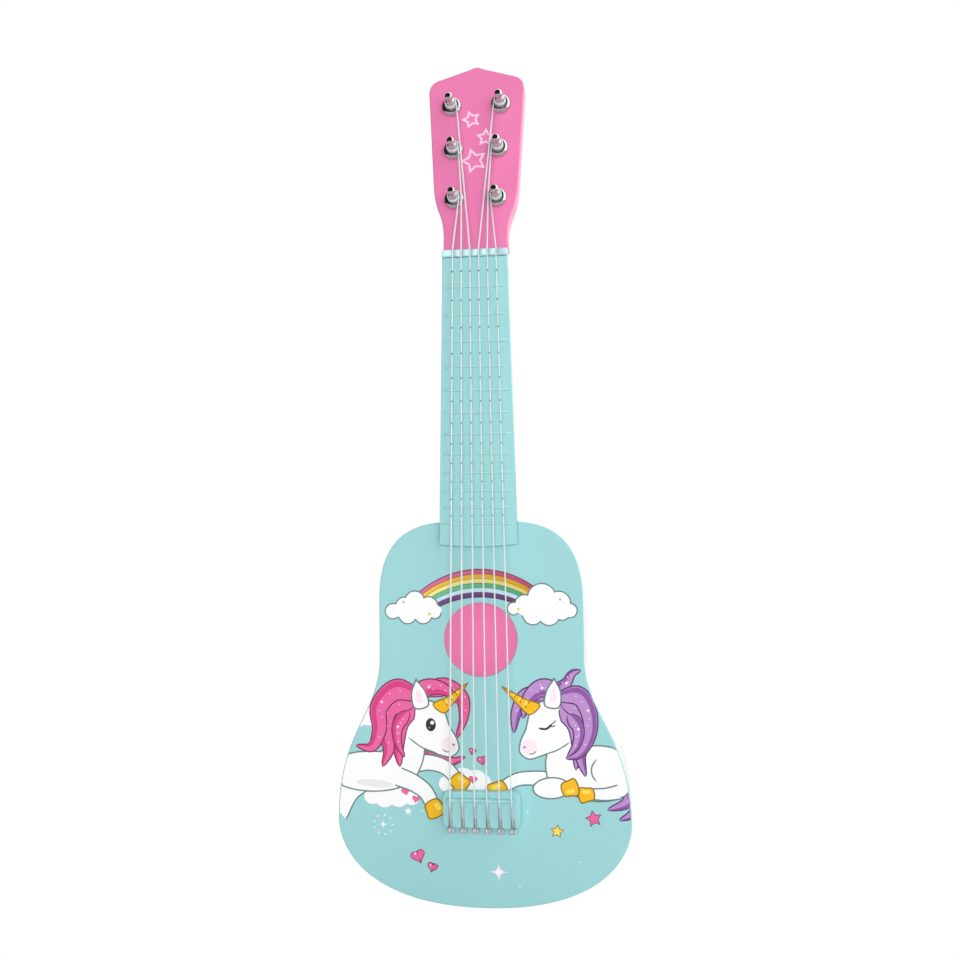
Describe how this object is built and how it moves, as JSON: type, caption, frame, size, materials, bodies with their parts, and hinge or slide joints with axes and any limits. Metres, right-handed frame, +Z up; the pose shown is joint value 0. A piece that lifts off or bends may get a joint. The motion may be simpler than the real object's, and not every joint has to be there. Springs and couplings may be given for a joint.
{
  "type": "toy acoustic guitar",
  "caption": "Child's six-string toy guitar: hollow painted body with a round sound hole, fretted neck, leaning pink headstock and turning friction pegs.",
  "frame": {"origin": "under the middle of the guitar's bounding box, at the foot of the body", "axes": "+Z up the neck, -Y out of the soundboard towards the player, +X across the strings"},
  "size_m": [0.1834, 0.0588, 0.5344],
  "materials": {
    "teal_paint": "smooth satin teal paint on plywood and solid wood",
    "pink_paint": "smooth satin pink paint on wood",
    "white_paint": "smooth satin white paint on plywood",
    "bare_wood": "planed, unpainted, inside the body",
    "pale_nut": "moulded, smooth",
    "label_paper": "printed plain pink paper",
    "fret_wire": "nickel-plated, dull",
    "nylon_string": "clear white nylon, metal-wrapped at the ball end",
    "peg_chrome": "polished chrome plate",
    "pearl_plastic": "moulded pearl white",
    "screw_steel": "zinc-plated"
  },
  "bodies": {
    "guitar_body": {"soundboard": "teal_paint", "rim": "white_paint", "back_plate": "white_paint", "neck_block": "bare_wood", "tail_block": "bare_wood", "upper_top_brace": "bare_wood", "lower_top_brace": "bare_wood", "upper_back_brace": "bare_wood", "lower_back_brace": "bare_wood", "sound_hole_label": "label_paper", "neck": "teal_paint", "neck_screw_1": "screw_steel", "neck_screw_2": "screw_steel", "fretboard": "teal_paint", "fret_1": "fret_wire", "fret_2": "fret_wire", "fret_3": "fret_wire", "fret_4": "fret_wire", "fret_5": "fret_wire", "fret_6": "fret_wire", "fret_7": "fret_wire", "fret_8": "fret_wire", "fret_9": "fret_wire", "fret_10": "fret_wire", "fret_11": "fret_wire", "fret_12": "fret_wire", "nut": "pale_nut", "bridge": "teal_paint", "saddle": "teal_paint", "string_1": "nylon_string", "string_2": "nylon_string", "string_3": "nylon_string", "string_4": "nylon_string", "string_5": "nylon_string", "string_6": "nylon_string", "headstock": "pink_paint", "peg_bushing_1": "peg_chrome", "peg_bushing_2": "peg_chrome", "peg_bushing_3": "peg_chrome", "peg_bushing_4": "peg_chrome", "peg_bushing_5": "peg_chrome", "peg_bushing_6": "peg_chrome"},
    "peg_1": {"peg_post_1": "peg_chrome", "peg_button_1": "pearl_plastic", "peg_screw_1": "screw_steel"},
    "peg_2": {"peg_post_2": "peg_chrome", "peg_button_2": "pearl_plastic", "peg_screw_2": "screw_steel"},
    "peg_3": {"peg_post_3": "peg_chrome", "peg_button_3": "pearl_plastic", "peg_screw_3": "screw_steel"},
    "peg_4": {"peg_post_4": "peg_chrome", "peg_button_4": "pearl_plastic", "peg_screw_4": "screw_steel"},
    "peg_5": {"peg_post_5": "peg_chrome", "peg_button_5": "pearl_plastic", "peg_screw_5": "screw_steel"},
    "peg_6": {"peg_post_6": "peg_chrome", "peg_button_6": "pearl_plastic", "peg_screw_6": "screw_steel"}
  },
  "joints": [
    {"name": "peg_1_turn", "type": "hinge", "parent": "guitar_body", "child": "peg_1", "pos_m": [-0.0135, -0.01337, 0.44404], "axis": [0, -0.9895, 0.1444], "continuous": true},
    {"name": "peg_2_turn", "type": "hinge", "parent": "guitar_body", "child": "peg_2", "pos_m": [-0.0144, -0.00851, 0.47738], "axis": [0, -0.9895, 0.1444], "continuous": true},
    {"name": "peg_3_turn", "type": "hinge", "parent": "guitar_body", "child": "peg_3", "pos_m": [-0.0159, -0.00415, 0.50727], "axis": [0, -0.9895, 0.1444], "continuous": true},
    {"name": "peg_4_turn", "type": "hinge", "parent": "guitar_body", "child": "peg_4", "pos_m": [0.0159, -0.00415, 0.50727], "axis": [0, -0.9895, 0.1444], "continuous": true},
    {"name": "peg_5_turn", "type": "hinge", "parent": "guitar_body", "child": "peg_5", "pos_m": [0.0144, -0.00851, 0.47738], "axis": [0, -0.9895, 0.1444], "continuous": true},
    {"name": "peg_6_turn", "type": "hinge", "parent": "guitar_body", "child": "peg_6", "pos_m": [0.0135, -0.01337, 0.44404], "axis": [0, -0.9895, 0.1444], "continuous": true}
  ]
}
